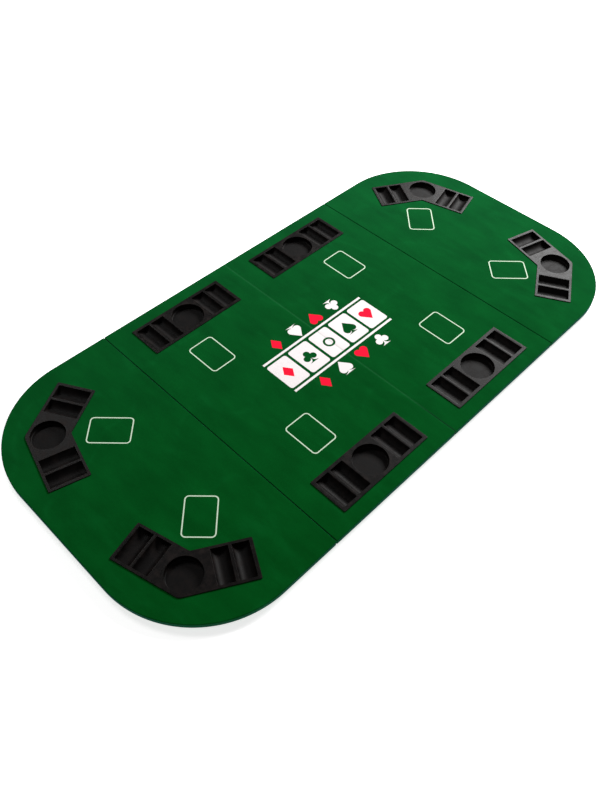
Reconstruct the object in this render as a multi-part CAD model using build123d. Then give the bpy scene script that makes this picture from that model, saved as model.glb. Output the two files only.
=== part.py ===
from build123d import *
from math import atan2, cos, degrees, radians, sin, sqrt
import os

# Folding poker table top, opened flat. Millimetres, +Z up, long side along X,
# origin at the centre of the table on the plane its rubber feet stand on.

# ---- overall ----
TABLE_LENGTH = 1600.0
TABLE_WIDTH = 800.0
CORNER_RADIUS = 250.0

# ---- panels and cloth ----
SEAM_X = TABLE_LENGTH / 4 + 1.0   # outer fold lines, each side of the centre fold
SEAM_GAP = 1.2         # open gap between the covered edges at an outer fold
CENTRE_GAP = 3.0       # gap between the two boards under the centre fold
CLOTH_GAP = 0.4        # the two halves of cloth and tape meet this far apart
BOARD_T = 12.0
FELT_T = 1.0
HEM_WIDTH = 20.0       # cloth turned under along the outer edge
TAPE_T = 0.5           # canvas tape let into the boards along the centre fold
TAPE_HALF = 30.0
TAPE_LENGTH = TABLE_WIDTH - 40.0

# ---- rubber feet ----
FOOT_HEIGHT = 5.2
FOOT_RADIUS = 10.0
FOOT_EDGE = 1.0
# distance from the fold, from the middle line
END_FEET = [(85.0, TABLE_WIDTH / 2 - 70.0), (TABLE_LENGTH / 4 - 70.0, 50.0)]
MIDDLE_FEET = [(45.0, TABLE_WIDTH / 2 - 160.0), (TABLE_LENGTH / 4 - 55.0, TABLE_WIDTH / 4)]

# ---- moulded trays ----
RIM_T = 1.8            # flange thickness above the cloth
RIM_EDGE = 0.7
TRAY_WALL = 1.5
POCKET_DEPTH = 12.5    # below the top of the rim
POCKET_EDGE = 0.5
FLANGE_LAP = 4.0       # flange resting on the cloth round the cut-out
TRAY_FIT = 0.4         # skirt to cut-out
SKIRT_DEPTH = 6.0
DIVIDER = 7.0
CUP_FLOOR_RADIUS = 3.0

STRAIGHT_TRAY = (280.0, 102.0)
STRAIGHT_CORNER = 2.5
STRAIGHT_CENTRE = (TABLE_LENGTH / 8, TABLE_WIDTH / 2 - 86.0)
STRAIGHT_RIM = 9.0     # end of the tray to the first chip slot
STRAIGHT_SLOT = (38.0, 85.0)
STRAIGHT_CUP_R = 42.0

WING_LENGTH = 168.0    # angled tray, along its outer edge
WING_WIDTH = 95.0
WING_ANGLES = (150.0, 285.0)
WING_VERTEX = (TABLE_LENGTH / 2 - 89.0, TABLE_WIDTH / 2 - 131.0)
WING_RIM = 8.0
WING_SLOT = (37.0, 82.0)
WING_CUP_R = 40.0
WING_OUTER_ROUND = 20.0
WING_INNER_ROUND = 8.0
WING_END_ROUND = 2.5

# ---- hinges on the underside of the outer folds ----
AXIS_DROP = 2.75       # hinge line below the underside of the boards
BARREL_RADIUS = 2.3
PIN_RADIUS = 1.0
PIN_PLAY = 0.3
KNUCKLES = 5
KNUCKLE_PLAY = 0.4
LEAF_T = 1.2
LEAF_WIDTH = 25.0
LEAF_LENGTH = 50.0
LEAF_NOTCH = 2.9       # leaf cut back from the hinge line beside the other knuckles
HINGE_INSET = 90.0     # outer hinges, from the long edge
HINGE_Y = {"front": HINGE_INSET - TABLE_WIDTH / 2, "centre": 0.0,
           "rear": TABLE_WIDTH / 2 - HINGE_INSET}
SCREW_X = 14.0         # from the hinge line
SCREW_Y = 16.0         # each side of the middle of the leaf
SCREW_RADIUS = 1.5
SCREW_HEAD_RADIUS = 2.6
SCREW_LENGTH = 9.0     # in the board
SCREW_END_PLAY = 0.5
RECESS = (3.0, 0.7, 0.6)

# ---- levels ----
UNDERSIDE_Z = FOOT_HEIGHT
BOARD_TOP_Z = UNDERSIDE_Z + BOARD_T
FELT_TOP_Z = BOARD_TOP_Z + FELT_T
RIM_TOP_Z = FELT_TOP_Z + RIM_T
AXIS_Z = UNDERSIDE_Z - AXIS_DROP
LEAF_Z = UNDERSIDE_Z - LEAF_T


def slab(sketch, z0, z1):
    return extrude(Pos(0, 0, z0) * sketch, z1 - z0)


def outline(inset):
    return RectangleRounded(TABLE_LENGTH - 2 * inset, TABLE_WIDTH - 2 * inset,
                            CORNER_RADIUS - inset)


def strip(x0, x1):
    return Pos((x0 + x1) / 2, 0) * Rectangle(x1 - x0, TABLE_WIDTH + 20)


# ---- trays ----

def trough(slot, wall):
    """Chip slot: a length of round channel; wall > 0 gives its outside."""
    x, y, turn, width, length = slot
    radius = ((width / 2) ** 2 + POCKET_DEPTH ** 2) / (2 * POCKET_DEPTH)
    centre = RIM_TOP_Z + radius - POCKET_DEPTH
    top = RIM_TOP_Z if wall == 0 else FELT_TOP_Z + RIM_T / 2
    half = sqrt((radius + wall) ** 2 - (centre - top) ** 2)
    left, right, low = (-half, top), (half, top), (0, centre - radius - wall)
    profile = make_face(Line(left, right) + ThreePointArc(right, low, left))
    solid = extrude(Plane.XZ * profile, length / 2 + wall, both=True)
    return Pos(x, y, 0) * Rot(0, 0, turn) * solid


def cup_outside(cup):
    x, y, radius = cup
    low = RIM_TOP_Z - POCKET_DEPTH - TRAY_WALL
    wall = slab(Circle(radius + TRAY_WALL), low, FELT_TOP_Z + RIM_T / 2)
    return Pos(x, y, 0) * fillet(wall.edges().sort_by(Axis.Z)[0], CUP_FLOOR_RADIUS)


def cup_inside(cup):
    x, y, radius = cup
    hole = slab(Circle(radius), RIM_TOP_Z - POCKET_DEPTH, RIM_TOP_Z)
    return Pos(x, y, 0) * fillet(hole.edges().sort_by(Axis.Z)[0], CUP_FLOOR_RADIUS)


def tray(footprint, slots, cup):
    """One moulding: flange, locating skirt, chip slots and a cup holder."""
    plate = slab(footprint, FELT_TOP_Z, RIM_TOP_Z)
    plate = fillet(plate.edges().group_by(Axis.Z)[-1], RIM_EDGE)
    edge = offset(footprint, amount=-(FLANGE_LAP + TRAY_FIT))
    ring = edge - offset(edge, amount=-TRAY_WALL)
    body = plate + slab(ring, FELT_TOP_Z - SKIRT_DEPTH, FELT_TOP_Z + RIM_T / 2)
    for slot in slots:
        body += trough(slot, TRAY_WALL)
    body += cup_outside(cup)
    for slot in slots:
        body -= trough(slot, 0)
    body -= cup_inside(cup)
    top = body.faces().filter_by(Axis.Z).sort_by(Axis.Z)[-1]
    mouths = [e for w in top.inner_wires() for e in w.edges()]
    return chamfer(mouths, POCKET_EDGE)


def straight_footprint():
    x, y = STRAIGHT_CENTRE
    return Pos(-x, y) * RectangleRounded(*STRAIGHT_TRAY, STRAIGHT_CORNER)


def straight_tray():
    """Tray of the left middle panel, rear side."""
    x, y = -STRAIGHT_CENTRE[0], STRAIGHT_CENTRE[1]
    width, length = STRAIGHT_SLOT
    first = STRAIGHT_TRAY[0] / 2 - STRAIGHT_RIM - width / 2
    second = first - width - DIVIDER
    slots = [(x + s * d, y, 0, width, length) for s in (-1, 1) for d in (first, second)]
    return tray(straight_footprint(), slots, (x, y, STRAIGHT_CUP_R))


def wing_frame():
    """Outer vertex, the two wing directions and their inward normals (left rear tray)."""
    vertex = (-WING_VERTEX[0], WING_VERTEX[1])
    wings = []
    for angle, side in zip(WING_ANGLES, (1, -1)):
        along = (-cos(radians(angle)), sin(radians(angle)))
        wings.append((along, (side * along[1], -side * along[0])))
    return vertex, wings


def wing_point(vertex, wing, along, across):
    u, n = wing
    return (vertex[0] + along * u[0] + across * n[0], vertex[1] + along * u[1] + across * n[1])


def inner_reach():
    """Along a wing, from the outer vertex to level with the inner vertex."""
    half = radians((WING_ANGLES[1] - WING_ANGLES[0]) / 2)
    return WING_WIDTH * cos(half) / sin(half)


def near(vertices, point):
    return [min(vertices, key=lambda v: (v.X - point[0]) ** 2 + (v.Y - point[1]) ** 2)]


def angled_footprint():
    vertex, (a, b) = wing_frame()
    inner = wing_point(vertex, a, inner_reach(), WING_WIDTH)
    ends = [wing_point(vertex, w, WING_LENGTH, d) for w in (a, b) for d in (0, WING_WIDTH)]
    shape = make_face(Polyline(vertex, ends[0], ends[1], inner, ends[3], ends[2], close=True))
    shape = fillet(near(shape.vertices(), vertex), WING_OUTER_ROUND)
    shape = fillet(near(shape.vertices(), inner), WING_INNER_ROUND)
    corners = [v for e in ends for v in near(shape.vertices(), e)]
    return fillet(corners, WING_END_ROUND)


def angled_tray():
    """Tray of the left end panel, rear side."""
    vertex, wings = wing_frame()
    width, length = WING_SLOT
    first = WING_LENGTH - WING_RIM - width / 2
    slots = []
    for wing in wings:
        turn = degrees(atan2(wing[0][1], wing[0][0]))
        for along in (first, first - width - DIVIDER):
            x, y = wing_point(vertex, wing, along, WING_WIDTH / 2)
            slots.append((x, y, turn, width, length))
    reach = inner_reach() / 2
    x, y = wing_point(vertex, wings[0], reach, WING_WIDTH / 2)
    return tray(angled_footprint(), slots, (x, y, WING_CUP_R))


# ---- boards and cloth (left half) ----

def panel_range(name, cover):
    """X range of a left panel's board (cover = 0) or of its cloth (cover = 1)."""
    edge = SEAM_GAP / 2 + (0 if cover else FELT_T)
    if name == "end":
        return -TABLE_LENGTH / 2, -(SEAM_X + edge)
    return -(SEAM_X - edge), -CENTRE_GAP / 2


def both_sides(thing):
    return [thing, mirror(thing, about=Plane.XZ)]


def cut_outs(name):
    footprint = angled_footprint() if name == "end" else straight_footprint()
    hole = offset(footprint, amount=-FLANGE_LAP)
    return both_sides(slab(hole, UNDERSIDE_Z - FELT_T, FELT_TOP_Z + RIM_T))


def tape():
    width = TAPE_HALF - CLOTH_GAP / 2
    shape = Pos(-TAPE_HALF + width / 2, 0) * Rectangle(width, TAPE_LENGTH)
    return slab(shape, BOARD_TOP_Z - TAPE_T, BOARD_TOP_Z)


def screw_places(side):
    """Screw centres of one leaf row; side -1 is the end panel, +1 the middle panel."""
    x = -SEAM_X + side * SCREW_X
    return [(x, y + s * SCREW_Y) for y in HINGE_Y.values() for s in (-1, 1)]


def board(name):
    plan = outline(FELT_T) & strip(*panel_range(name, 0))
    solid = slab(plan, UNDERSIDE_Z, BOARD_TOP_Z)
    for hole in cut_outs(name):
        solid -= hole
    if name == "middle":
        solid -= tape()
    pilots = [Pos(x, y) * Circle(SCREW_RADIUS) for x, y in screw_places(-1 if name == "end" else 1)]
    return solid - slab(Sketch() + pilots, UNDERSIDE_Z, UNDERSIDE_Z + SCREW_LENGTH + SCREW_END_PLAY)


def felt(name):
    """Cloth over the top, down the covered edges and turned under at the outside."""
    reach = strip(*panel_range(name, 1))
    core = slab(outline(FELT_T) & strip(*panel_range(name, 0)), UNDERSIDE_Z, BOARD_TOP_Z)
    solid = slab(outline(0) & reach, UNDERSIDE_Z, FELT_TOP_Z) - core
    hem = slab((outline(0) - outline(HEM_WIDTH)) & reach, UNDERSIDE_Z - FELT_T, UNDERSIDE_Z)
    solid += hem
    if name == "middle":
        bridge = strip(-CENTRE_GAP / 2, -CLOTH_GAP / 2) & outline(0)
        solid += slab(bridge, BOARD_TOP_Z, FELT_TOP_Z)
    for hole in cut_outs(name):
        solid -= hole
    return solid


def feet(name):
    places = END_FEET if name == "end" else MIDDLE_FEET
    side = -1 if name == "end" else 1
    one = slab(Circle(FOOT_RADIUS), 0, FOOT_HEIGHT)
    one = chamfer(one.edges().sort_by(Axis.Z)[0], FOOT_EDGE)
    return Part() + [Pos(-SEAM_X + side * x, s * y, 0) * one for x, y in places for s in (-1, 1)]


# ---- hinges (left outer fold) ----

def along_y(radius, y0, y1):
    return extrude(Plane.XZ.offset(-y0) * Pos(-SEAM_X, AXIS_Z) * Circle(radius), -(y1 - y0))


def plate(x0, x1, y0, y1):
    shape = Pos((x0 + x1) / 2, (y0 + y1) / 2) * Rectangle(abs(x1 - x0), y1 - y0)
    return slab(shape, LEAF_Z, UNDERSIDE_Z)


def screw_cone(radius):
    height = SCREW_HEAD_RADIUS - SCREW_RADIUS
    shape = Cone(radius, radius - height, height, align=(Align.CENTER, Align.CENTER, Align.MIN))
    return Pos(0, 0, LEAF_Z) * shape


def leaf(side, y):
    """Hinge leaf with its own knuckles; side -1 on the end panel, +1 on the middle panel."""
    pitch = LEAF_LENGTH / KNUCKLES
    y0 = y - LEAF_LENGTH / 2
    line = -SEAM_X
    solid = plate(line + side * LEAF_NOTCH, line + side * LEAF_WIDTH, y0, y0 + LEAF_LENGTH)
    own = range(0, KNUCKLES, 2) if side > 0 else range(1, KNUCKLES, 2)
    for k in own:
        a = y0 + k * pitch + (KNUCKLE_PLAY / 2 if k > 0 else 0)
        b = y0 + (k + 1) * pitch - (KNUCKLE_PLAY / 2 if k < KNUCKLES - 1 else 0)
        solid += plate(line, line + side * LEAF_NOTCH, a, b)
        solid += along_y(BARREL_RADIUS, a, b)
    bore = PIN_RADIUS + (0 if side > 0 else PIN_PLAY)
    solid -= along_y(bore, y0, y0 + LEAF_LENGTH)
    for x, sy in screw_places(side):
        if abs(sy - y) < LEAF_LENGTH / 2:
            solid -= Pos(x, sy, 0) * screw_cone(SCREW_HEAD_RADIUS)
            solid -= Pos(x, sy, 0) * slab(Circle(SCREW_RADIUS), LEAF_Z, UNDERSIDE_Z)
    return solid


def pin(y):
    return along_y(PIN_RADIUS, y - LEAF_LENGTH / 2, y + LEAF_LENGTH / 2)


def screws(side):
    """Countersunk wood screws of all the leaves on one side of the fold."""
    length, width, depth = RECESS
    one = screw_cone(SCREW_HEAD_RADIUS)
    one += slab(Circle(SCREW_RADIUS), LEAF_Z + 0.5, UNDERSIDE_Z + SCREW_LENGTH)
    one = chamfer(one.edges().sort_by(Axis.Z)[-1], SCREW_RADIUS * 0.6)
    cross = Rectangle(length, width) + Rectangle(width, length)
    one -= slab(cross, LEAF_Z, LEAF_Z + depth)
    return Part() + [Pos(x, y, 0) * one for x, y in screw_places(side)]


def left_half():
    parts = {}
    for name, side in (("end", -1), ("middle", 1)):
        parts[f"{name}_board"] = board(name)
        parts[f"{name}_felt"] = felt(name)
        parts[f"{name}_feet"] = feet(name)
        parts[f"{name}_hinge_screws"] = screws(side)
    rear = {"end": angled_tray(), "middle": straight_tray()}
    for name, shape in rear.items():
        parts[f"{name}_rear_tray"] = shape
        parts[f"{name}_front_tray"] = mirror(shape, about=Plane.XZ)
    for place, y in HINGE_Y.items():
        parts[f"{place}_hinge_end_leaf"] = leaf(-1, y)
        parts[f"{place}_hinge_middle_leaf"] = leaf(1, y)
        parts[f"{place}_hinge_pin"] = pin(y)
    parts["middle_fold_tape"] = tape()
    return parts


def right_name(name):
    """A half turn about Z swaps front and rear."""
    swap = {"front": "rear", "rear": "front"}
    return "right_" + "_".join(swap.get(word, word) for word in name.split("_"))


def main():
    os.makedirs("parts", exist_ok=True)
    for name, shape in left_half().items():
        turned = Rot(0, 0, 180) * shape
        for label, made in ((f"left_{name}", shape), (right_name(name), turned)):
            made.label = label
            export_step(made, f"parts/{label}.step")
            print(label, len(made.solids()), round(made.volume, 1))


main()
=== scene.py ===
# %% [markdown]
# # A folding poker table top
# The object is a long board with round corners, made of four hinged panels under green cloth. Eight black
# trays are let into it, each with a cup holder and chip slots. It lies open and flat on a pale floor.
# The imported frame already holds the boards, the hinges and the screws at their true size, so this lesson
# only adds what a frame lacks: cloth, moulded surfaces, rubber and the finish of every piece.

# %% Load the frame and read the levels from it
import math

import bpy
import numpy as np
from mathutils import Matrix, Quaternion, Vector


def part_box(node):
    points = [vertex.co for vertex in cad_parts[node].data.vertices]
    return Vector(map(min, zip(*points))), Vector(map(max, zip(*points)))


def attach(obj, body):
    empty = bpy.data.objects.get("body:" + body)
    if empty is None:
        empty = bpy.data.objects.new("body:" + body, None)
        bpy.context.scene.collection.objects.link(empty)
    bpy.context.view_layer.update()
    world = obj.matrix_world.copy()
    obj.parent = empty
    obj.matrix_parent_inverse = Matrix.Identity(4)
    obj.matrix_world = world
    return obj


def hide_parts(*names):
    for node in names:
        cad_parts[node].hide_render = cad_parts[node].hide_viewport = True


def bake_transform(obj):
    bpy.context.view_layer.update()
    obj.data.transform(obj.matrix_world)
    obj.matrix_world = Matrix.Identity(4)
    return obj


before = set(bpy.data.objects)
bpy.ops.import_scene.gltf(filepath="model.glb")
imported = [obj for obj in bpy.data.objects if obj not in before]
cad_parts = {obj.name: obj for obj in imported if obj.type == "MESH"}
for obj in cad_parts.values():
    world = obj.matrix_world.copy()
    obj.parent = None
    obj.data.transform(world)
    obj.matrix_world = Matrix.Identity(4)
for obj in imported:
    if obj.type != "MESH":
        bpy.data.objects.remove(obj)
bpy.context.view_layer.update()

end_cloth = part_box("left_end_felt")
middle_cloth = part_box("left_middle_felt")
middle_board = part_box("left_middle_board")
straight_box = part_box("left_middle_rear_tray")

HALF_LENGTH = -end_cloth[0].x
HALF_WIDTH = end_cloth[1].y
CLOTH_TOP = end_cloth[1].z
HEM_LEVEL = end_cloth[0].z
BOARD_TOP = middle_board[1].z
UNDERSIDE = middle_board[0].z
RIM_TOP = straight_box[1].z
END_SEAM = -end_cloth[1].x
MIDDLE_SEAM = -middle_cloth[0].x
CLOTH = CLOTH_TOP - BOARD_TOP
print("levels (mm):", [round(1000 * v, 2) for v in (UNDERSIDE, BOARD_TOP, CLOTH_TOP, RIM_TOP)])

# %% [markdown]
# ## The camera
# The viewer stands near one end of the table and looks down along it. A camera can be placed with a long
# matrix, but four plain facts say the same and can be changed one at a time: the point on the cloth that
# it looks at, its distance, its two angles, and the small turn of the hand about the line of sight.

# %% Camera
LOOK_AT = Vector((-0.191, -0.085, CLOTH_TOP))
DISTANCE = 1.754
AZIMUTH, ELEVATION, HAND_TURN = (math.radians(a) for a in (-46.97, 50.90, 2.19))

back = Vector((math.sin(AZIMUTH) * math.cos(ELEVATION),
               -math.cos(AZIMUTH) * math.cos(ELEVATION), math.sin(ELEVATION)))
camera = bpy.data.objects.new("camera", bpy.data.cameras.new("camera"))
bpy.context.collection.objects.link(camera)
camera.data.lens, camera.data.sensor_width = 33.48, 36
camera.location = LOOK_AT + back * DISTANCE
camera.rotation_mode = "QUATERNION"
camera.rotation_quaternion = (-back).to_track_quat("-Z", "Y") @ Quaternion((0, 0, 1), HAND_TURN)
bpy.context.scene.camera = camera
print("camera at", [round(v, 3) for v in camera.location])

# %% [markdown]
# ## Shader sums written as sums
# A printed pattern is a sum over coordinates. Placing dozens of Math nodes by hand hides that sum, so a
# small class wraps a socket and lets Python's own operators add the Math nodes. Colours never go through
# Math nodes, because those turn them grey; they are mixed with Mix nodes.


# %% A socket that can be added and multiplied
class Wire:
    """One output socket; every operator adds the Math node that it stands for."""

    def __init__(self, finish, socket):
        self.finish, self.socket = finish, socket

    def math(self, operation, *others, clamp=False):
        values = dict(enumerate((self, *others)))
        return self.finish.add("Math", {"operation": operation, "use_clamp": clamp}, values)

    def __add__(self, other):
        return self.math("ADD", other)

    def __sub__(self, other):
        return self.math("SUBTRACT", other)

    def __mul__(self, other):
        return self.math("MULTIPLY", other)

    def __truediv__(self, other):
        return self.math("DIVIDE", other)

    def __pow__(self, other):
        return self.math("POWER", other)

    def __rsub__(self, other):
        return self.finish.add("Math", {"operation": "SUBTRACT"}, {0: other, 1: self})

    def __rtruediv__(self, other):
        return self.finish.add("Math", {"operation": "DIVIDE"}, {0: other, 1: self})

    def __neg__(self):
        return self * -1

    def __abs__(self):
        return self.math("ABSOLUTE")

    __radd__, __rmul__ = __add__, __mul__

    def lower(self, other):
        return self.math("MINIMUM", other)

    def higher(self, other):
        return self.math("MAXIMUM", other)

    def above(self, other):
        return self.math("GREATER_THAN", other)

    def within(self, soft):
        """1 where a distance is negative, 0 where it is positive, over an edge `soft` wide."""
        return self.math("MULTIPLY_ADD", -1 / soft, 0.5, clamp=True)


class Finish:
    """One material under construction; `add` makes any node, settings first, then its sockets."""

    def __init__(self, name):
        self.material = bpy.data.materials.new(name)
        self.material.use_nodes = True
        self.tree = self.material.node_tree
        self.tree.nodes.clear()

    def add(self, kind, settings=None, sockets=None, output=0):
        node = self.tree.nodes.new("ShaderNode" + kind)
        for key, value in (settings or {}).items():
            setattr(node, key, value)
        for key, value in (sockets or {}).items():
            if isinstance(value, Wire):
                self.tree.links.new(value.socket, node.inputs[key])
            else:
                node.inputs[key].default_value = value
        return Wire(self, node.outputs[output]) if node.outputs else node

    def mix(self, share, first, second):
        """First colour where share is 0, second where it is 1."""
        first, second = ((*c, 1) if isinstance(c, tuple) and len(c) == 3 else c for c in (first, second))
        return self.add("Mix", {"data_type": "RGBA"}, {0: share, 6: first, 7: second}, output=2)

    def noise(self, place, scale, detail=2.0, roughness=0.5):
        sockets = {"Vector": place, "Scale": scale, "Detail": detail, "Roughness": roughness}
        return self.add("TexNoise", None, sockets)

    def contrast(self, value, low, high):
        """Value stretched so that low becomes 0 and high becomes 1."""
        return self.add("MapRange", {"clamp": True}, {0: value, 1: low, 2: high, 3: 0.0, 4: 1.0})

    def object_place(self):
        return self.add("TexCoord", None, None, output="Object")

    def cloth_place(self, scale):
        """The piece's flat coordinates, and then each of the two by itself, times `scale`."""
        flat = self.add("UVMap", {"uv_map": "cloth"})
        scaled = self.add("VectorMath", {"operation": "SCALE"}, {0: flat, "Scale": scale})
        across = self.add("SeparateXYZ", None, {0: scaled})
        return flat, across, Wire(self, across.socket.node.outputs[1])

    def bump(self, height, strength, distance):
        return self.add("Bump", None, {"Height": height, "Strength": strength, "Distance": distance})

    def shade(self, **sockets):
        """Close the material with a Principled shader."""
        named = {key.replace("_", " "): value for key, value in sockets.items()}
        named = {k: ((*v, 1) if isinstance(v, tuple) and len(v) == 3 else v) for k, v in named.items()}
        shader = self.add("BsdfPrincipled", None, named)
        self.add("OutputMaterial", None, {"Surface": shader})
        return self.material

# %% [markdown]
# ## Turning arrays into pieces
# Every piece here is worked out with numpy as one array of points and one of faces, and only then handed
# to Blender. Solidify gives a sheet its thickness and Bevel rounds a moulded edge; both are applied at
# once.


# %% Helpers that make a mesh, weld it and finish it
def weld(points, faces):
    """Points at the same place become one, and faces lose the corners that fell together."""
    kept, back_to = np.unique(np.round(points, 7), axis=0, return_inverse=True)
    merged = [list(dict.fromkeys(face)) for face in back_to.reshape(-1)[faces].tolist()]
    return kept, [face for face in merged if len(face) > 2]


def grid_faces(index, flip=False):
    """Four-cornered faces between the rows and columns of an index array."""
    a, b, c, d = index[:-1, :-1], index[1:, :-1], index[1:, 1:], index[:-1, 1:]
    faces = np.stack([a, b, c, d], -1).reshape(-1, 4)
    return faces[:, ::-1] if flip else faces


def make_piece(name, points, faces, plan=None):
    """An object whose mesh holds the points in metres; `plan` is a cloth coordinate for every point."""
    mesh = bpy.data.meshes.new(name)
    mesh.from_pydata(np.asarray(points, float).tolist(), [], [list(f) for f in faces])
    if plan is not None:
        corner = np.empty(len(mesh.loops), np.int32)
        mesh.loops.foreach_get("vertex_index", corner)
        layer = mesh.uv_layers.new(name="cloth")
        layer.data.foreach_set("uv", np.asarray(plan, np.float32)[corner].ravel())
    mesh.update()
    piece = bpy.data.objects.new(name, mesh)
    bpy.context.collection.objects.link(piece)
    return piece


def modify(piece, kind, **settings):
    modifier = piece.modifiers.new(kind.title(), kind)
    for key, value in settings.items():
        setattr(modifier, key, value)


def settle(piece, sharp=None):
    """Apply the modifiers, shade smooth, and keep edges sharper than `sharp` degrees crisp."""
    bpy.context.view_layer.update()
    seen = piece.evaluated_get(bpy.context.evaluated_depsgraph_get())
    mesh = bpy.data.meshes.new_from_object(seen)
    piece.modifiers.clear()
    piece.data = mesh
    mesh.shade_smooth()
    if sharp is not None:
        mesh.set_sharp_from_angle(angle=math.radians(sharp))
    return piece


def dress(piece, material, body, slot, *stands_for):
    """Give a piece its material, the body it moves with and the nodes it stands for."""
    piece.data.materials.clear()
    piece.data.materials.append(material)
    if stands_for:
        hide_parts(*stands_for)
    if body:
        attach(piece, body)
    print(f"{piece.name}: {len(piece.data.vertices)} points, {len(piece.data.polygons)} faces")
    return piece


# %% [markdown]
# ## Where the trays are
# The cloth has to be cut where the trays go through it, so their outlines come first. A straight tray is
# a rectangle. An angled tray is a chevron: two wings that leave one outer corner in two directions. Only
# the rear left tray of each kind is worked out; the other three are its mirror images.

# %% Tray outlines
STRAIGHT_LENGTH, STRAIGHT_WIDTH = (straight_box[1] - straight_box[0]).xy
STRAIGHT_CENTRE = ((straight_box[0] + straight_box[1]) / 2).xy
WING_CORNER = np.array([-0.711, 0.269])
WING_ANGLES = (30.0, -105.0)
WING_LENGTH, WING_WIDTH = 0.168, 0.095
FLANGE_LAP = 0.004


def rounded(a, b):
    """A unit square becomes a quarter disc: (a, b) -> (a sqrt(1 - b^2/2), b sqrt(1 - a^2/2))."""
    return a * np.sqrt(1 - b * b / 2), b * np.sqrt(1 - a * a / 2)


def direction(degrees):
    return np.array([math.cos(math.radians(degrees)), math.sin(math.radians(degrees))])


def wing_axes(angle):
    """The way a wing runs, and the way across it towards the middle of the table."""
    along = direction(angle)
    across = np.array([along[1], -along[0]])
    return along, across if across @ -WING_CORNER > 0 else -across


def chevron():
    """Corners of the angled tray, anticlockwise from the outer corner."""
    (a, a_in), (b, b_in) = (wing_axes(angle) for angle in WING_ANGLES)
    half = math.radians((WING_ANGLES[0] - WING_ANGLES[1]) / 2)
    inner = WING_CORNER + WING_WIDTH / math.tan(half) * a + WING_WIDTH * a_in
    b_end, a_end = WING_CORNER + WING_LENGTH * b, WING_CORNER + WING_LENGTH * a
    return np.array([WING_CORNER, b_end, b_end + WING_WIDTH * b_in, inner,
                     a_end + WING_WIDTH * a_in, a_end])


def rectangle():
    """Corners of the straight tray, anticlockwise."""
    half = np.array([STRAIGHT_LENGTH, STRAIGHT_WIDTH]) / 2
    return np.array(STRAIGHT_CENTRE) + np.array([[-1, -1], [1, -1], [1, 1], [-1, 1]]) * half


def distance_to(corners, place):
    """Distance from each place to a closed outline, negative inside: nearest edge, signed by crossings."""
    nearest = np.full(place.shape[:-1], np.inf)
    crossed = np.zeros(place.shape[:-1], bool)
    for start, end in zip(corners, np.roll(corners, -1, 0)):
        edge, reach = end - start, place - start
        share = np.clip((reach @ edge) / (edge @ edge), 0, 1)
        nearest = np.minimum(nearest, np.linalg.norm(reach - share[..., None] * edge, axis=-1))
        spans = (start[1] > place[..., 1]) != (end[1] > place[..., 1])
        rise = edge[1] if abs(edge[1]) > 1e-12 else 1e-12
        crossed ^= spans & (place[..., 0] < start[0] + edge[0] * (place[..., 1] - start[1]) / rise)
    return np.where(crossed, -nearest, nearest)


def opening_distance(place):
    """Distance to the nearest tray opening in the cloth, from any of the four quarters of the table."""
    quarter = np.stack([-np.abs(place[..., 0]), np.abs(place[..., 1])], -1)
    trays = [distance_to(outline, quarter) for outline in (chevron(), rectangle())]
    return np.minimum(*trays) + FLANGE_LAP


print("angled tray corners (mm):", np.round(1000 * chevron()).astype(int).tolist())

# %% [markdown]
# ## The cloth
# Each end panel has a cover of its own. The two middle panels share one, because the print runs across
# their fold unbroken, so that cloth is also the hinge. A cover is a flat sheet pulled over the board:
# over a rounded edge, down the side and, along the outside, 20 mm under the board. A flat grid gives the
# top. Its points near a tray opening are slid onto the opening's edge, so the holes come out clean
# without any boolean. The rings of a profile, carried round the grid's edge, give the turned sides.
# The sheet has one layer here and gets its thickness from Solidify.

# %% Sizes of the cloth
CORNER = 0.250
EDGE_ROUND = 0.0015
HEM = 0.020
WEAVE_STEP = 0.006
FOLD_GAP = 0.0015      # from the middle of the centre fold to each board
FOLD_DIP = 0.0002
SEAM_CORNER = 0.0012   # round at the panel corners; the cloth just covers the board's square one


def nearer_ends(value):
    """True for grid points at the nearer end of a grid line that crosses an opening's edge."""
    near = value == 0
    for before, after in (((slice(None, -1), slice(None)), (slice(1, None), slice(None))),
                          ((slice(None), slice(None, -1)), (slice(None), slice(1, None)))):
        crossing = value[before] * value[after] < 0
        first = np.abs(value[before]) <= np.abs(value[after])
        near[before] |= crossing & first
        near[after] |= crossing & ~first
    return near


def slide_to_openings(place):
    """The nearer end of every grid line that crosses an opening's edge moves onto it, along the slope."""
    step = 1e-5
    value = opening_distance(place)
    slope = np.stack([opening_distance(place + step * axis) - opening_distance(place - step * axis)
                      for axis in np.eye(2)], -1) / (2 * step)
    near = nearer_ends(value)
    moved = np.where(near[..., None], place - value[..., None] * slope, place)
    return moved, np.where(near, 0.0, value)


def open_faces(quads, value):
    """Faces outside the openings: whole squares, and half squares cut corner to corner."""
    inside = value[quads] < 0
    count = inside.sum(1)
    whole = quads[count == 0]
    cut = quads[count == 1]
    lost = inside[count == 1].argmax(1)
    turned = np.stack([cut[np.arange(len(cut)), (lost + k) % 4] for k in (1, 2, 3)], -1)
    on_edge = (value[turned[:, 0]] == 0) & (value[turned[:, 2]] == 0)
    return whole, turned[on_edge]


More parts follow.
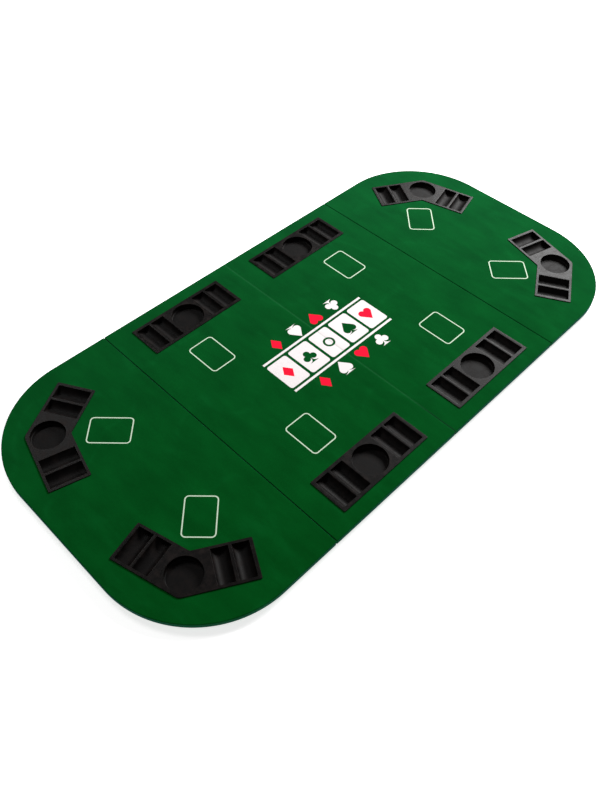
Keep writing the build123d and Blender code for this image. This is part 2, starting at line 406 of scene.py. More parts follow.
def cloth_profile():
    """(outward, up) rings over the rounded edge, down the side and under the board to the hem's end."""
    turn = np.linspace(0, np.pi / 2, 5)[1:]
    over = np.stack([EDGE_ROUND * np.sin(turn), CLOTH_TOP - EDGE_ROUND * (1 - np.cos(turn))], -1)
    side = np.array([[EDGE_ROUND, (UNDERSIDE + BOARD_TOP) / 2], [EDGE_ROUND, UNDERSIDE]])
    under = np.linspace(0, np.pi / 2, 4)[1:]
    curl = np.stack([EDGE_ROUND - CLOTH * (1 - np.cos(under)), UNDERSIDE - CLOTH * np.sin(under)], -1)
    hem = np.array([[EDGE_ROUND - HEM * share, HEM_LEVEL] for share in (0.4, 0.7, 1.0)])
    return np.concatenate([over, side]), np.concatenate([curl, hem])


def eased(count):
    """Shares of a side from its middle line outwards, -1 to 1, with closer lines at both ends."""
    fine = 1 - SEAM_CORNER / HALF_WIDTH * np.array([0.66, 0.33, 0])
    middle = np.linspace(-1, 1, count) * (1 - SEAM_CORNER / HALF_WIDTH)
    return np.concatenate([-fine[::-1], middle, fine])


def round_seam_corners(place, folds):
    """The last small square of a panel, at a fold, becomes a quarter disc."""
    x, y = place[..., 0], place[..., 1]
    half = HALF_WIDTH - EDGE_ROUND
    for fold in folds:
        side = np.sign(fold - x.mean())
        a = np.clip((x - fold) * side / SEAM_CORNER + 1, 0, 1)
        b = np.clip((np.abs(y) - half) / SEAM_CORNER + 1, 0, 1)
        at_corner = (a > 0) & (b > 0)
        round_a, round_b = rounded(a, b)
        new_x = fold + side * SEAM_CORNER * (round_a - 1)
        new_y = np.sign(y) * (half + SEAM_CORNER * (round_b - 1))
        x, y = np.where(at_corner, new_x, x), np.where(at_corner, new_y, y)
    return np.stack([x, y], -1)


def outward(rim, folds, at_fold):
    """Directions square to the edge: away from the nearest point of a box inside all its rounds."""
    low = min(folds) + SEAM_CORNER if len(folds) == 2 else CORNER - HALF_LENGTH
    level = np.where(at_fold, HALF_WIDTH - EDGE_ROUND - SEAM_CORNER, HALF_WIDTH - CORNER)
    away = rim - np.stack([np.clip(rim[:, 0], low, max(folds) - SEAM_CORNER),
                           np.clip(rim[:, 1], -level, level)], -1)
    return away / np.linalg.norm(away, axis=1, keepdims=True)


def cover(x, half_width, folds):
    """A cover over the columns x; `folds` are the columns where the panel folds, all others are
    outside. Only the outside has a hem, so at a fold the hem's rings move along y or not at all."""
    place = half_width[:, None] * eased(2 * round(HALF_WIDTH / WEAVE_STEP) + 1)
    place = round_seam_corners(np.stack([np.broadcast_to(x[:, None], place.shape), place], -1), folds)
    index = np.arange(place[..., 0].size).reshape(place.shape[:2])
    edge = np.concatenate([index[::-1, 0], index[0, 1:], index[1:, -1], index[-1, -2:0:-1]])
    rim = place.reshape(-1, 2)[edge]
    at_fold = np.min([np.abs(rim[:, 0] - fold) for fold in folds], 0) < SEAM_CORNER + 1e-6
    out = outward(rim, folds, at_fold)
    along_side = np.stack([np.zeros(len(rim)), np.sign(rim[:, 1]) * (np.abs(out[:, 1]) > 0.5)], -1)
    hem_out = np.where(at_fold[:, None], along_side, out)

    place, value = slide_to_openings(place)
    over_fold = len(folds) == 2
    dip = FOLD_DIP * np.clip(1 - (place[..., 0] / (2 * FOLD_GAP)) ** 2, 0, 1) * over_fold
    top = np.concatenate([place, CLOTH_TOP - dip[..., None]], -1).reshape(-1, 3)
    whole, halves = open_faces(grid_faces(index), value.ravel())
    sides, hems = cloth_profile()
    points, plan, faces = [top], [top[:, :2]], [whole, halves]
    last, count, run, before = edge, len(top), 0.0, np.array([0.0, CLOTH_TOP])
    for step, (reach, level) in enumerate(np.concatenate([sides, hems])):
        hemming = step >= len(sides)
        way = hem_out if hemming else out
        run += math.dist(before, (reach, level))
        before = (reach, level)
        ring = count + np.arange(len(edge))
        points.append(np.column_stack([rim + (out - way) * EDGE_ROUND + way * reach,
                                       np.full(len(edge), level)]))
        plan.append(rim + way * run)
        keep = np.ones(len(edge), bool)
        if hemming:
            soft = np.linalg.norm(hem_out, axis=1) > 0
            keep &= soft & np.roll(soft, -1)
        if level < BOARD_TOP - 1e-6 and over_fold:
            keep &= np.abs(rim[:, 0] + np.roll(rim[:, 0], -1)) / 2 > FOLD_GAP - 1e-6
        faces.append(np.stack([last, np.roll(last, -1), np.roll(ring, -1), ring], -1)[keep])
        last, count = ring, count + len(edge)
    faces = [face for group in faces for face in group.tolist()]
    return np.concatenate(points), np.concatenate(plan), faces


def end_columns():
    """Columns from the round end to the outer fold, and the half width at each."""
    radius = CORNER - EDGE_ROUND
    turn = np.linspace(0, np.pi / 2, round(CORNER * np.pi / 2 / WEAVE_STEP))
    fold = -END_SEAM - EDGE_ROUND
    straight = np.linspace(-(HALF_LENGTH - CORNER), fold - SEAM_CORNER, 25)[1:]
    fine = fold - SEAM_CORNER * np.array([0.66, 0.33, 0])
    x = np.concatenate([-(HALF_LENGTH - CORNER) - radius * np.cos(turn), straight, fine])
    sine = np.concatenate([np.sin(turn), np.ones(len(x) - len(turn))])
    return x, HALF_WIDTH - CORNER + radius * sine, [fold]


def middle_columns():
    """Columns from one outer fold to the other, closer together over the centre fold."""
    centre = np.linspace(-2 * FOLD_GAP, 2 * FOLD_GAP, 13)
    fold = MIDDLE_SEAM - EDGE_ROUND
    side = np.linspace(centre[-1], fold - SEAM_CORNER, round(fold / WEAVE_STEP))[1:]
    side = np.concatenate([side, fold - SEAM_CORNER * np.array([0.66, 0.33, 0])])
    x = np.concatenate([-side[::-1], centre, side])
    return x, np.full(len(x), HALF_WIDTH - EDGE_ROUND), [-fold, fold]


def finished_cover(name, points, plan, faces):
    used = np.unique(np.concatenate([np.asarray(face) for face in faces]))
    renumber = np.zeros(len(points), int)
    renumber[used] = np.arange(len(used))
    faces = [[int(renumber[corner]) for corner in face] for face in faces]
    piece = make_piece(name, points[used], faces, plan[used])
    one_layer = sum(face.area for face in piece.data.polygons)
    modify(piece, "SOLIDIFY", thickness=CLOTH, offset=-1.0, use_even_offset=True)
    return settle(piece, sharp=60), one_layer

# %% [markdown]
# ## The finish of the cloth
# Baize is a short-haired green cloth. From a distance it is one colour, and close up the nap lies in
# slightly different directions, so it is blotched with lighter and darker patches, and a fibre here and
# there catches the light. The pattern on it is printed, so it is part of the same finish, worked out from
# distances: a card outline is the band where the distance to a rounded rectangle is near zero. The table
# is the same in its four quarters, so folding the coordinates with an absolute value prints every mark
# four times. The coordinates come from the piece's own map, so that the print stays on the cloth when
# the middle fold bends it.

# %% Distances for printed shapes, in millimetres
PRINT_SOFT = 0.5


def length(x, y):
    return (x * x + y * y) ** 0.5


def rounded_box(x, y, half_x, half_y, radius):
    """Distance to a rounded rectangle centred on zero; x and y are already folded to positive."""
    over_x, over_y = abs(x) - (half_x - radius), abs(y) - (half_y - radius)
    return length(over_x.higher(0), over_y.higher(0)) + over_x.higher(over_y).lower(0) - radius


def heart(x, y):
    """Two round lobes over a point: the smaller of a circle and a wedge under it."""
    lean = math.radians(37.9)
    side = abs(x)
    lobe = length(side - 9.3, y - 8.2) - 10.3
    wedge = (side * math.cos(lean) - (y + 20.5) * math.sin(lean)).higher(y + side * 0.15 - 4.5)
    return lobe.lower(wedge)


def stem(x, y, top, foot, spread):
    """A stem with a wide thin foot: 1.5 mm half width, and `spread` more at the very bottom."""
    width = ((top - y) * (1 / (top - foot))).higher(0) ** 5 * spread + 1.5
    return (abs(x) - width).higher(y - top).higher(foot - y)


def spade(x, y):
    return heart(x, -(y - 3.0)).lower(stem(x, y, -4.0, -20.5, 15.0))


def club(x, y):
    side = abs(x)
    leaves = (length(x, y - 9.5) - 9.2).lower(length(side - 10.3, y + 3.5) - 9.2)
    return leaves.lower(length(x, y) - 6.0).lower(stem(x, y, -2.0, -20.5, 12.5))


def diamond(x, y):
    return (abs(x) / 15.0 + abs(y) / 21.0 - 1.0) * 12.2


# %% [markdown]
# Which mark is printed where is again a sum. Four suits stand in a row, so the row is cut into cells and
# the number of the cell picks the suit. Each suit is worked out once, for a pair of coordinates that is
# chosen beforehand: those of the row outside the white rules, or those of the cards between them.

# %% The print: card outlines, rules, cards and suits
CARD = (71.0, 98.0)
CARD_CORNER, CARD_LINE = 9.0, 2.8
STRAIGHT_CARD = (242.0, 170.0)
DIAGONAL_CARD = (558.5, 156.0)
PRINT_CENTRE = (-4.0, -3.0)
END_PRINT_SHIFT = -3.5
RULE = (176.0, 55.0, 3.25)
CARD_STEP = 72.0
SHOWN_CARD = (32.0, 45.0, 7.0)
SUIT_STEP, SUIT_LINE = 68.0, 85.0


def pick(share, first, second):
    """First where share is 0, second where it is 1, for plain numbers."""
    return first + (second - first) * share


def near_number(value, number):
    """1 where a whole-numbered value is this number."""
    return 1 - abs(value - number).above(0.5)


def card_outline(x, y):
    """The white line of a card centred on zero."""
    card = rounded_box(x, y, CARD[0] / 2, CARD[1] / 2, CARD_CORNER)
    return (abs(card) - CARD_LINE / 2).within(PRINT_SOFT)


def straight_outlines(x, y):
    return card_outline(abs(x) - STRAIGHT_CARD[0], abs(y) - STRAIGHT_CARD[1])


def slanted_outlines(x, y):
    """Cards turned by 45 degrees: (x, y) -> ((x - y) / sqrt 2, (x + y) / sqrt 2)."""
    x, y = abs(x) - DIAGONAL_CARD[0], abs(y) - DIAGONAL_CARD[1]
    return card_outline((x - y) * 0.5 ** 0.5, (x + y) * 0.5 ** 0.5)


def print_masks(x, y):
    """(white, red) of the middle print, from plan coordinates in millimetres."""
    x, y = x - PRINT_CENTRE[0], y - PRINT_CENTRE[1]
    u, v = abs(x), abs(y)
    rules = (u - RULE[0]).higher(abs(v - RULE[1]) - RULE[2])
    cell = (x / CARD_STEP).math("ROUND").higher(-2.0).lower(2.0)
    card_x = x - cell * CARD_STEP
    cards = rounded_box(card_x, y, *SHOWN_CARD)
    suit_cell = (x / SUIT_STEP).math("FLOOR").higher(-2.0).lower(1.0)
    suit_x = x - (suit_cell + 0.5) * SUIT_STEP
    in_row = v.above(RULE[1])
    pip_x, pip_y = pick(in_row, card_x, suit_x), pick(in_row, y, SUIT_LINE - v)

    is_diamond = pick(in_row, near_number(cell, -2.0), near_number(suit_cell, -2.0))
    is_spade = pick(in_row, near_number(cell, 1.0), near_number(suit_cell, -1.0))
    is_heart = pick(in_row, near_number(cell, 2.0), near_number(suit_cell, 0.0))
    is_club = pick(in_row, near_number(cell, -1.0), near_number(suit_cell, 1.0))
    is_ring = (1 - in_row) * near_number(cell, 0.0)
    far = 100.0
    black = (spade(pip_x, pip_y) + (1 - is_spade) * far).lower(club(pip_x, pip_y) + (1 - is_club) * far)
    red = (heart(pip_x, pip_y) + (1 - is_heart) * far).lower(
        diamond(pip_x, pip_y) + (1 - is_diamond) * far)
    ring = abs(length(pip_x, pip_y) - 13.0) - 3.0 + (1 - is_ring) * far

    black, red, ring = black.within(PRINT_SOFT), red.within(PRINT_SOFT), ring.within(PRINT_SOFT)
    card = cards.within(PRINT_SOFT) * (1 - in_row)
    white = rules.within(PRINT_SOFT).higher(card * (1 - black) * (1 - ring)).higher(black * in_row)
    return white, red


# %% [markdown]
# The cloth's own colour is mixed from two greens with noises of different size: blotches a hand wide,
# strokes of the brush, mottling a few millimetres wide and single fibres. Faint pale lines are where it
# was pressed when folded. The centre fold is a little paler in the middle, and near its front end a dark
# line of painted shade stands for the shadow in the gap between the boards. The ink covers the hairs
# unevenly, so its edge and its strength are broken up with the fine noise. The hairs are a bump, which
# is all that a nap needs at this distance, and sheen gives the paler look at a low angle that every
# brushed cloth has. It has no other shine.


# %% The cloth material
DEEP_GREEN, PALE_GREEN = (0.0002, 0.041, 0.0026), (0.0011, 0.087, 0.0098)
PRESSED_GREEN, PALE_FOLD_GREEN = (0.004, 0.130, 0.024), (0.03, 0.16, 0.06)
SHADED_GREEN = (0.0001, 0.006, 0.0006)
OUTLINE_INK, WHITE_INK, RED_INK = (0.66, 0.80, 0.62), (0.86, 0.80, 0.80), (0.88, 0.008, 0.035)


def baize(printed):
    cloth = Finish("baize_printed" if printed else "baize_plain")
    flat, across, along = cloth.cloth_place(1000.0)
    blotch = cloth.noise(flat, 9.0, 3.0)
    mottle = cloth.noise(flat, 420.0, 3.0, 0.6)
    fibre = cloth.noise(flat, 2400.0, 2.0, 0.7)
    brushed = cloth.noise(cloth.add("Mapping", None, {"Vector": flat, "Rotation": (0, 0, 0.9),
                                                      "Scale": (1.0, 0.3, 1.0)}), 26.0, 4.0, 0.6)
    shade = (cloth.contrast(blotch, 0.3, 0.7) * 0.30 + cloth.contrast(brushed, 0.35, 0.7) * 0.30
             + cloth.contrast(mottle, 0.3, 0.7) * 0.22 + cloth.contrast(fibre, 0.3, 0.7) * 0.18)
    colour = cloth.mix(shade, DEEP_GREEN, PALE_GREEN)
    ripple = abs(cloth.noise(flat, 4.0, 1.5, 0.4) - 0.5)
    pressed = (1 - cloth.contrast(ripple, 0.0, 0.025)) * cloth.contrast(brushed, 0.4, 0.65)
    colour = cloth.mix(pressed * 0.14, colour, PRESSED_GREEN)
    ink = cloth.contrast(mottle * 0.5 + fibre * 0.5, 0.18, 0.42) * 0.22 + 0.78
    if printed:
        wobble = (mottle - 0.5) * 0.9
        white, red = print_masks(across + wobble, along + wobble)
        outlines = straight_outlines(across + wobble, along + wobble)
        colour = cloth.mix(outlines * ink * 0.92, colour, OUTLINE_INK)
        colour = cloth.mix(white * ink, colour, WHITE_INK)
        colour = cloth.mix(red * ink, colour, RED_INK)
        # a broken paler band along the middle of the centre fold
        crease = (abs(across + wobble * 2.0) - 1.6).within(3.2) * cloth.contrast(mottle, 0.2, 0.6)
        colour = cloth.mix(crease * 0.30, colour, PALE_FOLD_GREEN)
        # painted shade: a dark line along the centre fold near the front edge, for the shadow in the gap
        # between the boards
        painted_gap_shade = (abs(across) - 1.1).within(1.4) * cloth.contrast(-along, 270.0, 330.0)
        colour = cloth.mix(painted_gap_shade * 0.85, colour, SHADED_GREEN)
    else:
        outlines = slanted_outlines(across - END_PRINT_SHIFT, along - END_PRINT_SHIFT)
        colour = cloth.mix(outlines * ink * 0.92, colour, OUTLINE_INK)
    nap = cloth.bump(fibre * 0.6 + mottle * 0.4, 0.55, 0.0006)
    return cloth.shade(Base_Color=colour, Roughness=0.92, Specular_IOR_Level=0.0, Normal=nap,
                       Sheen_Weight=0.24, Sheen_Roughness=0.4, Sheen_Tint=(0.30, 0.60, 1.0))


print_cloth, end_cloth_finish = baize(True), baize(False)

# %% [markdown]
# ## Cutting out the three covers
# The left cover and the middle cover are worked out, and the right one is the left one's mirror image
# with its faces turned round.

# %% The covers
def mirror_x(points, plan, faces):
    flip = np.array([-1.0, 1.0, 1.0])
    return points * flip, plan * flip[:2], [list(face)[::-1] for face in faces]


end_shape, middle_shape = cover(*end_columns()), cover(*middle_columns())

for side, shape in (("left", end_shape), ("right", mirror_x(*end_shape))):
    piece, area = finished_cover(side + "_end_cover", *shape)
    dress(piece, end_cloth_finish, side + "_end", "felt", side + "_end_felt")
    side + "_end_board"

middle_cover, area = finished_cover("middle_cover", *middle_shape)
dress(middle_cover, print_cloth, None, "felt", "left_middle_felt", "right_middle_felt")
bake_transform(middle_cover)

# %% [markdown]
# ## The moulded trays
# A tray is one sheet of black plastic, drawn down into four chip slots and a cup holder. It could be cut
# out of a block with booleans, but a moulding is a skin, and a skin is easier to write down directly. The
# part with the slots is a grid in which two of the lines lie at the same place: one on the flat rim and
# one down in the slots. The faces between them are the upright ends of the slots, and where there is no
# slot they shrink to nothing and are welded away. The part with the cup holder is a ring of faces from
# the round mouth to the outline, and the cup itself is a turned profile. Solidify then gives the skin
# its thickness and Bevel rounds every edge, as moulds do.

# %% Sizes of the trays
SKIN = RIM_TOP - CLOTH_TOP
POCKET = 0.0125
DIVIDER = 0.007
FLOOR_ROUND = 0.003
STRAIGHT = {"end_rim": 0.009, "slot": (0.038, 0.085), "cup": 0.042}
ANGLED = {"end_rim": 0.008, "slot": (0.037, 0.082), "cup": 0.040}
END_CORNER, OUTER_CORNER, INNER_CORNER = 0.0025, 0.020, 0.008


# %% The part with two chip slots
def slot_lines(far, design):
    """Places along the tray and the depth at each: for a slot, an arc through both lips and the lowest
    point, so its radius is (half width squared + depth squared) / (twice the depth)."""
    width = design["slot"][0]
    radius = ((width / 2) ** 2 + POCKET ** 2) / (2 * POCKET)
    turn = np.linspace(-1, 1, 25) * math.asin(width / 2 / radius)
    outer = far - design["end_rim"] - width / 2
    inner = outer - width - DIVIDER
    arc = np.maximum(POCKET - radius * (1 - np.cos(turn)), 0)
    arc[[0, -1]] = 0
    near = inner - width / 2 - 0.0025
    corner = far - END_CORNER * np.linspace(1, 0, 4)
    along = np.concatenate([[near], inner + radius * np.sin(turn), outer + radius * np.sin(turn), corner])
    depth = np.concatenate([[0], arc, arc, np.zeros(4)])
    return along, depth


def across_lines(width, design):
    """Places across the tray, from one long edge to the other, and 1 where the line runs in the slots."""
    rim = (width - design["slot"][1]) / 2
    corner = END_CORNER * np.linspace(0, 1, 4)
    inside = np.linspace(rim, width - rim, 13)
    across = np.concatenate([corner, [rim], inside, [width - rim], width - corner[::-1]])
    return across, np.concatenate([np.zeros(5), np.ones(13), np.zeros(5)])


def round_end(along, across, far, width):
    """The last small squares at both corners of the tray's end become quarter discs."""
    a = np.clip((along - far) / END_CORNER + 1, 0, 1)
    side = np.sign(across - width / 2)
    b = np.clip((np.abs(across - width / 2) - width / 2) / END_CORNER + 1, 0, 1)
    at_corner = (a > 0) & (b > 0)
    new_a, new_b = rounded(a, b)
    along = np.where(at_corner, far + END_CORNER * (new_a - 1), along)
    middle = side * (width / 2 + END_CORNER * (new_b - 1)) + width / 2
    return along, np.where(at_corner, middle, across)


def slotted_part(far, width, design):
    """(along, across, height) of the grid with both slots of one end of a tray, and its faces."""
    lines, depth = slot_lines(far, design)
    rows, within = across_lines(width, design)
    along, across = np.meshgrid(lines, rows, indexing="ij")
    height = -depth[:, None] * within
    along, across = round_end(along, across, far, width)
    index = np.arange(along.size).reshape(along.shape)
    return np.stack([along, across, height], -1).reshape(-1, 3), grid_faces(index)


# %% The part with the cup holder
def cup_profile(radius):
    """(radius, height) from the mouth down the wall, round the foot and over the floor to the middle."""
    turn = np.linspace(0, np.pi / 2, 13)
    foot = np.stack([radius - FLOOR_ROUND * (1 - np.cos(turn)),
                     -POCKET + FLOOR_ROUND * (1 - np.sin(turn))], -1)
    floor = np.stack([(radius - FLOOR_ROUND) * np.array([0.7, 0.35]), [-POCKET] * 2], -1)
    return np.concatenate([[[radius, 0.0]], foot, floor])


def cup_part(outline, centre, radius):
    """Rings of points: the outline, then the cup's profile turned about its centre, each ring at the
    angles of the outline's points, and last the middle of the floor."""
    reach = outline - centre
    unit = reach / np.linalg.norm(reach, axis=1, keepdims=True)
    rings = [np.column_stack([outline, np.zeros(len(outline))])]
    for ring_radius, height in cup_profile(radius):
        rings.append(np.column_stack([centre + ring_radius * unit, np.full(len(unit), height)]))
    count, total = len(outline), len(rings)
    points = np.concatenate(rings + [[[*centre, -POCKET]]])
    index = np.arange(count * total).reshape(total, count)
    wrapped = np.concatenate([index, index[:, :1]], 1)
    last, middle = wrapped[-1], np.full(count, count * total)
    fan = np.stack([last[:-1], last[1:], middle, middle], -1)
    return points, np.concatenate([grid_faces(wrapped, flip=True), fan])


def arc_between(before, corner, after, radius, count=9):
    """Points of a round of this radius that touches both sides of a corner."""
    a, b = ((p - corner) / np.linalg.norm(p - corner) for p in (before, after))
    half = math.acos(np.clip(a @ b, -1, 1)) / 2
    centre = corner + (a + b) / np.linalg.norm(a + b) * radius / math.sin(half)
    start, end = (corner + d * radius / math.tan(half) - centre for d in (a, b))
    share = np.linspace(0, 1, count)[:, None]
    sweep = math.acos(np.clip(start @ end / radius ** 2, -1, 1))
    return centre + (np.sin((1 - share) * sweep) * start + np.sin(share * sweep) * end) / math.sin(sweep)


def line_between(start, end, step=0.006):
    count = max(2, round(np.linalg.norm(end - start) / step) + 1)
    return start + np.linspace(0, 1, count)[:, None] * (end - start)


# %% Both kinds of tray, for the left rear quarter
def straight_tray():
    half, width = STRAIGHT_LENGTH / 2, STRAIGHT_WIDTH
    part, faces = slotted_part(half, width, STRAIGHT)
    rows = np.unique(np.round(across_lines(width, STRAIGHT)[0], 9))
    near = part[0, 0]
    centre = np.array(STRAIGHT_CENTRE)
    low = np.array([0, -width / 2]) + centre
    right = np.column_stack([np.full(len(rows), near), rows]) + low
    left = np.column_stack([np.full(len(rows), -near), rows[::-1]]) + low
    outline = np.concatenate([right, line_between(right[-1], left[0])[1:-1],
                              left, line_between(left[-1], right[0])[1:-1]])
    shift = np.array([*low, 0.0])
    return [(part + shift, faces), (part * [-1, 1, 1] + shift, faces[:, ::-1]),
            cup_part(outline, centre, STRAIGHT["cup"])]


def angled_tray():
    part, faces = slotted_part(WING_LENGTH, WING_WIDTH, ANGLED)
    rows = np.unique(np.round(across_lines(WING_WIDTH, ANGLED)[0], 9))
    patches, borders = [], []
    for angle in WING_ANGLES:
        run, inward = wing_axes(angle)
        plan = WING_CORNER + part[:, :1] * run + part[:, 1:2] * inward
        clockwise = run[0] * inward[1] - run[1] * inward[0] < 0
        patches.append((np.column_stack([plan, part[:, 2]]), faces[:, ::-1] if clockwise else faces))
        borders.append(WING_CORNER + part[0, 0] * run + rows[:, None] * inward)
    first, second = borders
    inner = chevron()[3]
    outer_round = arc_between(first[0], WING_CORNER, second[0], OUTER_CORNER)
    inner_round = arc_between(second[-1], inner, first[-1], INNER_CORNER, 5)
    outline = np.concatenate([
        first[::-1], line_between(first[0], outer_round[0])[1:-1], outer_round,
        line_between(outer_round[-1], second[0])[1:-1], second,
        line_between(second[-1], inner_round[0])[1:-1], inner_round,
        line_between(inner_round[-1], first[-1])[1:-1]])
    centre = (WING_CORNER + inner) / 2
    return [*patches, cup_part(outline, centre, ANGLED["cup"])]


def skin_of(patches):
    """All patches as one skin at the height of the rim, welded along their shared borders."""
    starts = np.cumsum([0] + [len(points) for points, _ in patches])
    points = np.concatenate([points for points, _ in patches]) + [0, 0, RIM_TOP]
    return weld(points, np.concatenate([faces + start for (_, faces), start in zip(patches, starts)]))


def moulded(name, skin, signs):
    """One tray: the skin mirrored into its quarter of the table, then thickened and rounded."""
    points, faces = skin
    if signs[0] * signs[1] < 0:
        faces = [face[::-1] for face in faces]
    piece = make_piece(name, points * [*signs, 1], faces)
    modify(piece, "SOLIDIFY", thickness=SKIN, offset=-1.0, use_even_offset=True, use_quality_normals=True)
    modify(piece, "BEVEL", width=0.0005, segments=3, limit_method="ANGLE", angle_limit=math.radians(35))
    return settle(piece, sharp=13)


# %% [markdown]
# Drawn trays like these have a fine leather grain, so that scratches from chips don't show. The grain is
# a bump from small cells with soft borders. The plastic is nearly black, and what is seen of it is mostly
# the light on its grain, so the roughness matters more than the colour: it is lower on the ridges of the
# grain, and a little higher where dust gathers and deep in the pockets. Deep in the pockets the colour
# is also darker, which is painted shade for the light that the walls keep off.

# %% The finish of the trays, and the eight trays
def grained_plastic():
    plastic = Finish("grained_black_plastic")
    place = plastic.object_place()
    cells = plastic.add("TexVoronoi", {"feature": "SMOOTH_F1"},
                        {"Vector": place, "Scale": 900.0, "Smoothness": 0.5})
    fine = plastic.noise(place, 2600.0, 2.0)
    dust = plastic.contrast(plastic.noise(place, 60.0, 4.0, 0.65), 0.45, 0.8)
    height = plastic.add("SeparateXYZ", None, {0: place}, output=2)
    deep = 1 - plastic.contrast(height, RIM_TOP - POCKET, RIM_TOP - 0.0015)
    colour = plastic.mix(dust * 0.8, (0.0018, 0.0012, 0.0011), (0.0160, 0.0105, 0.0090))
    # painted shade: the colour is darker deep in the pockets, where the walls keep the light off
    colour = plastic.mix(deep * 0.5, colour, (0.0012, 0.0009, 0.0009))
    roughness = cells * 0.16 + dust * 0.12 + deep * 0.16 + 0.34
    grain = plastic.bump(cells * 0.7 + fine * 0.3, 0.5, 0.00025)
    return plastic.shade(Base_Color=colour, Roughness=roughness, Normal=grain, Specular_IOR_Level=0.08)


black_plastic = grained_plastic()
angled_skin, straight_skin = skin_of(angled_tray()), skin_of(straight_tray())
for side, x_sign in (("left", 1), ("right", -1)):
    for row, y_sign in (("rear", 1), ("front", -1)):
        for panel, skin in (("end", angled_skin), ("middle", straight_skin)):
            body, name = f"{side}_{panel}", f"{side}_{panel}_{row}_tray"
            piece = moulded(name + "_moulding", skin, (x_sign, y_sign))
            dress(piece, black_plastic, body, "tray", name)

# %% [markdown]
# ## What shows from below
# The boards, the hinges and their screws already have their true shape in the frame, so they keep it and
# only get a finish. Fibreboard is pressed from fine wood fibres: short darker and lighter flecks in one
# plain brown. Zinc plate is a metal whose roughness, not its colour, changes from crystal to crystal.

# %% Fibreboard, zinc and steel
def fibreboard():
    board = Finish("fibreboard")
    place = board.object_place()
    stretched = board.add("Mapping", None, {"Vector": place, "Rotation": (0, 0, 0.6),
                                            "Scale": (1.0, 0.35, 1.0)})
    flecks = board.noise(stretched, 1500.0, 3.0, 0.7)
    clouds = board.noise(place, 14.0, 3.0)
    share = board.contrast(flecks, 0.35, 0.68) * 0.65 + board.contrast(clouds, 0.3, 0.7) * 0.35
    colour = board.mix(share, (0.20, 0.115, 0.055), (0.43, 0.285, 0.155))
    return board.shade(Base_Color=colour, Roughness=flecks * 0.2 + 0.62,
                       Normal=board.bump(flecks, 0.35, 0.0004))


def zinc(name, tint, grain):
    metal = Finish(name)
    place = metal.object_place()
    crystals = metal.add("TexVoronoi", None, {"Vector": place, "Scale": grain}, output="Color")
    split = metal.add("SeparateColor", None, {0: crystals})
    stains = metal.contrast(metal.noise(place, 120.0, 4.0, 0.7), 0.5, 0.75)
    colour = metal.mix(split * 0.35 + stains * 0.4, tint, tuple(0.62 * c for c in tint))
    return metal.shade(Base_Color=colour, Metallic=1.0, Roughness=split * 0.14 + stains * 0.2 + 0.26,
                       Normal=metal.bump(stains, 0.2, 0.0002))


def rubber():
    foot = Finish("foot_rubber")
    place = foot.object_place()
    speck = foot.noise(place, 1400.0, 3.0, 0.7)
    colour = foot.mix(speck, (0.012, 0.012, 0.012), (0.035, 0.034, 0.033))
    return foot.shade(Base_Color=colour, Roughness=speck * 0.15 + 0.75, Normal=foot.bump(speck, 0.3, 0.0002))


finishes = {"board": fibreboard(), "leaf": zinc("zinc_plate", (0.62, 0.63, 0.64), 700.0),
            "pin": zinc("pin_steel", (0.50, 0.50, 0.49), 1500.0),
            "screws": zinc("screw_zinc", (0.70, 0.68, 0.60), 1800.0)}
for name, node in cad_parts.items():
    finish = finishes.get(name.split("_")[-1])
    if finish is not None:
        node.data.materials.clear()
        node.data.materials.append(finish)

# %% [markdown]
# ## Rubber feet
# Sixteen small feet keep the hinge barrels off the table underneath. Each is a turned shape: a hollow in
# the middle of the sole, a rounded edge, a slightly tapered side. Their places are read from the frame,
# where the four feet of a panel are one node: its points fall into four groups, left and right of the
# panel's middle and in front of and behind the table's middle line.

# %% Turned feet
def foot_centres(node):
    """(4, 2) centres: the middle of the box of each quarter of the node's points."""
    flat = np.empty(len(node.data.vertices) * 3, np.float32)
    node.data.vertices.foreach_get("co", flat)
    x, y = flat.reshape(-1, 3)[:, :2].T
    right, behind = x > (x.min() + x.max()) / 2, y > 0
    groups = [(right == a) & (behind == b) for a in (False, True) for b in (False, True)]
    return np.array([[(x[g].min() + x[g].max()) / 2, (y[g].min() + y[g].max()) / 2] for g in groups])


def foot_profile(radius, height):
    """(radius, height) from the middle of the sole's hollow, out over the sole and up to the board."""
    turn = np.linspace(0, np.pi / 2, 5)
    edge = 0.0010
    outer = np.stack([radius - edge * (1 - np.sin(turn)), edge * (1 - np.cos(turn))], -1)
    lip = np.stack([0.0042 + 0.0008 * (1 - np.cos(turn)), 0.0008 * (1 - np.sin(turn))], -1)
    return np.concatenate([[[0.0, 0.0018], [0.0030, 0.0018], [0.0039, 0.0014]], lip, outer,
                           [[radius - 0.0004, height], [0.0, height]]])


def turned(profile, centres, steps=40):
    """The profile turned about an upright line through every centre, all in one array."""
    angle = np.linspace(0, 2 * np.pi, steps + 1)
    circle = np.stack([np.cos(angle), np.sin(angle)], -1)
    plan = centres[:, None, None, :] + profile[None, :, None, :1] * circle[None, None]
    height = np.broadcast_to(profile[None, :, None, 1:], plan.shape[:3] + (1,))
    index = np.arange(plan[..., 0].size).reshape(plan.shape[:3])
    faces = np.concatenate([grid_faces(one) for one in index])
    return weld(np.concatenate([plan, height], -1).reshape(-1, 3), faces)


foot_rubber = rubber()
for body in ("left_end", "left_middle", "right_middle", "right_end"):
    low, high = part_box(body + "_feet")
    centres = foot_centres(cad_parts[body + "_feet"])
    piece = make_piece(body + "_turned_feet", *turned(foot_profile(0.010, high.z - low.z), centres))
    dress(settle(piece, sharp=40), foot_rubber, body, "feet", body + "_feet")

# %% [markdown]
# ## The tape under the centre fold
# A strip of black canvas is let into both boards under the cloth and carries the load of the centre
# fold. It shows in the gap between the boards, from below or when the table is folded. It is a plain
# woven sheet, closer in its columns where it has to bend.

# %% Woven tape
THREAD = 0.0012


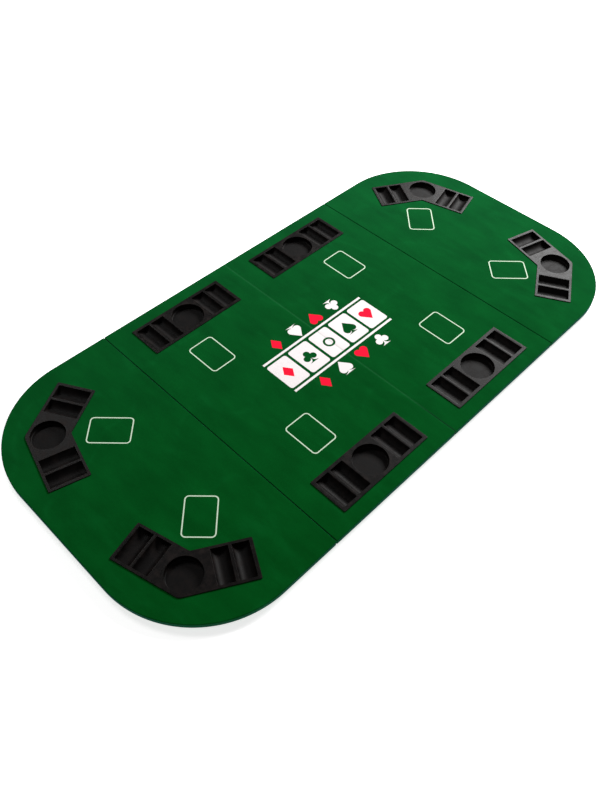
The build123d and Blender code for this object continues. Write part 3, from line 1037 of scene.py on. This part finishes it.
def canvas():
    weave = Finish("woven_tape")
    flat, across, along = weave.cloth_place(2 * math.pi / THREAD)
    threads = across.math("SINE") * along.math("SINE") * 0.5 + 0.5
    lint = weave.noise(flat, 500.0, 3.0)
    colour = weave.mix(threads * 0.6 + lint * 0.4, (0.010, 0.010, 0.010), (0.055, 0.052, 0.050))
    return weave.shade(Base_Color=colour, Roughness=0.9, Sheen_Weight=0.3,
                       Normal=weave.bump(threads, 0.6, 0.0002))


tape_low, tape_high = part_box("left_middle_fold_tape")
TAPE_HALF, TAPE_LENGTH = -tape_low.x, tape_high.y - tape_low.y
fold = np.linspace(-2 * FOLD_GAP, 2 * FOLD_GAP, 13)
flat_side = np.linspace(fold[-1], TAPE_HALF, 8)[1:]
columns = np.concatenate([-flat_side[::-1], fold, flat_side])
across, along = np.meshgrid(columns, np.linspace(-0.5, 0.5, 77) * TAPE_LENGTH, indexing="ij")
plan = np.stack([across, along], -1).reshape(-1, 2)
index = np.arange(len(plan)).reshape(across.shape)
tape = make_piece("centre_fold_tape", np.column_stack([plan, np.full(len(plan), tape_high.z)]),
                  grid_faces(index), plan)
modify(tape, "SOLIDIFY", thickness=tape_high.z - tape_low.z, offset=-1.0)
dress(settle(tape, sharp=40), canvas(), None, "tape", "left_middle_fold_tape", "right_middle_fold_tape")
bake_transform(tape)

# %% [markdown]
# ## Floor and light
# The table lies on a seamless pale floor. The light comes from a large soft box beyond the far right
# corner, so the far walls of the pockets stay dark, the moulded trays show their grain in a soft sheen,
# and the nearer end of the cloth is deeper in colour than the far end. A weak fill and an even pale sky
# keep the shadows open.

# %% Floor and lights
FLOOR_HALF, FLOOR_LEVEL = 14.0, -0.0002     # one large face just under the feet
corners = np.array([[-1, -1], [1, -1], [1, 1], [-1, 1]]) * FLOOR_HALF
floor = make_piece("floor", np.column_stack([corners, np.full(4, FLOOR_LEVEL)]), [[0, 1, 2, 3]])
paper = Finish("pale_floor")
tone = paper.noise(paper.object_place(), 1.2, 2.0)
floor.data.materials.append(paper.shade(
    Base_Color=paper.mix(tone, (0.86, 0.86, 0.86), (0.90, 0.90, 0.90)), Roughness=0.9,
    Specular_IOR_Level=0.1, Emission_Color=(1.0, 1.0, 1.0), Emission_Strength=0.7))


def soft_box(name, place, aim, size, power):
    """A rectangular area light that faces a point."""
    lamp = bpy.data.lights.new(name, "AREA")
    lamp.shape, lamp.size, lamp.size_y, lamp.energy = "RECTANGLE", size[0], size[1], power
    holder = bpy.data.objects.new(name, lamp)
    bpy.context.collection.objects.link(holder)
    holder.location, holder.visible_camera = place, False
    holder.rotation_euler = (Vector(aim) - Vector(place)).to_track_quat("-Z", "Y").to_euler()
    return holder


soft_box("key_light", (3.1, 0.5, 1.75), (0.1, 0.0, 0.0), (2.0, 1.0), 245)
soft_box("rear_light", (-0.1, 2.2, 2.45), (-0.5, 0.2, 0.0), (1.4, 0.8), 34)
soft_box("fill_light", (-1.6, -1.8, 2.4), (-0.3, 0.0, 0.0), (1.8, 1.8), 3)
sky = bpy.data.worlds.new("sky")
bpy.context.scene.world = sky
sky.use_nodes = True
background = sky.node_tree.nodes["Background"]
background.inputs["Color"].default_value = (1.0, 1.0, 1.0, 1)
background.inputs["Strength"].default_value = 0.12
bpy.context.scene.view_settings.view_transform = "Standard"
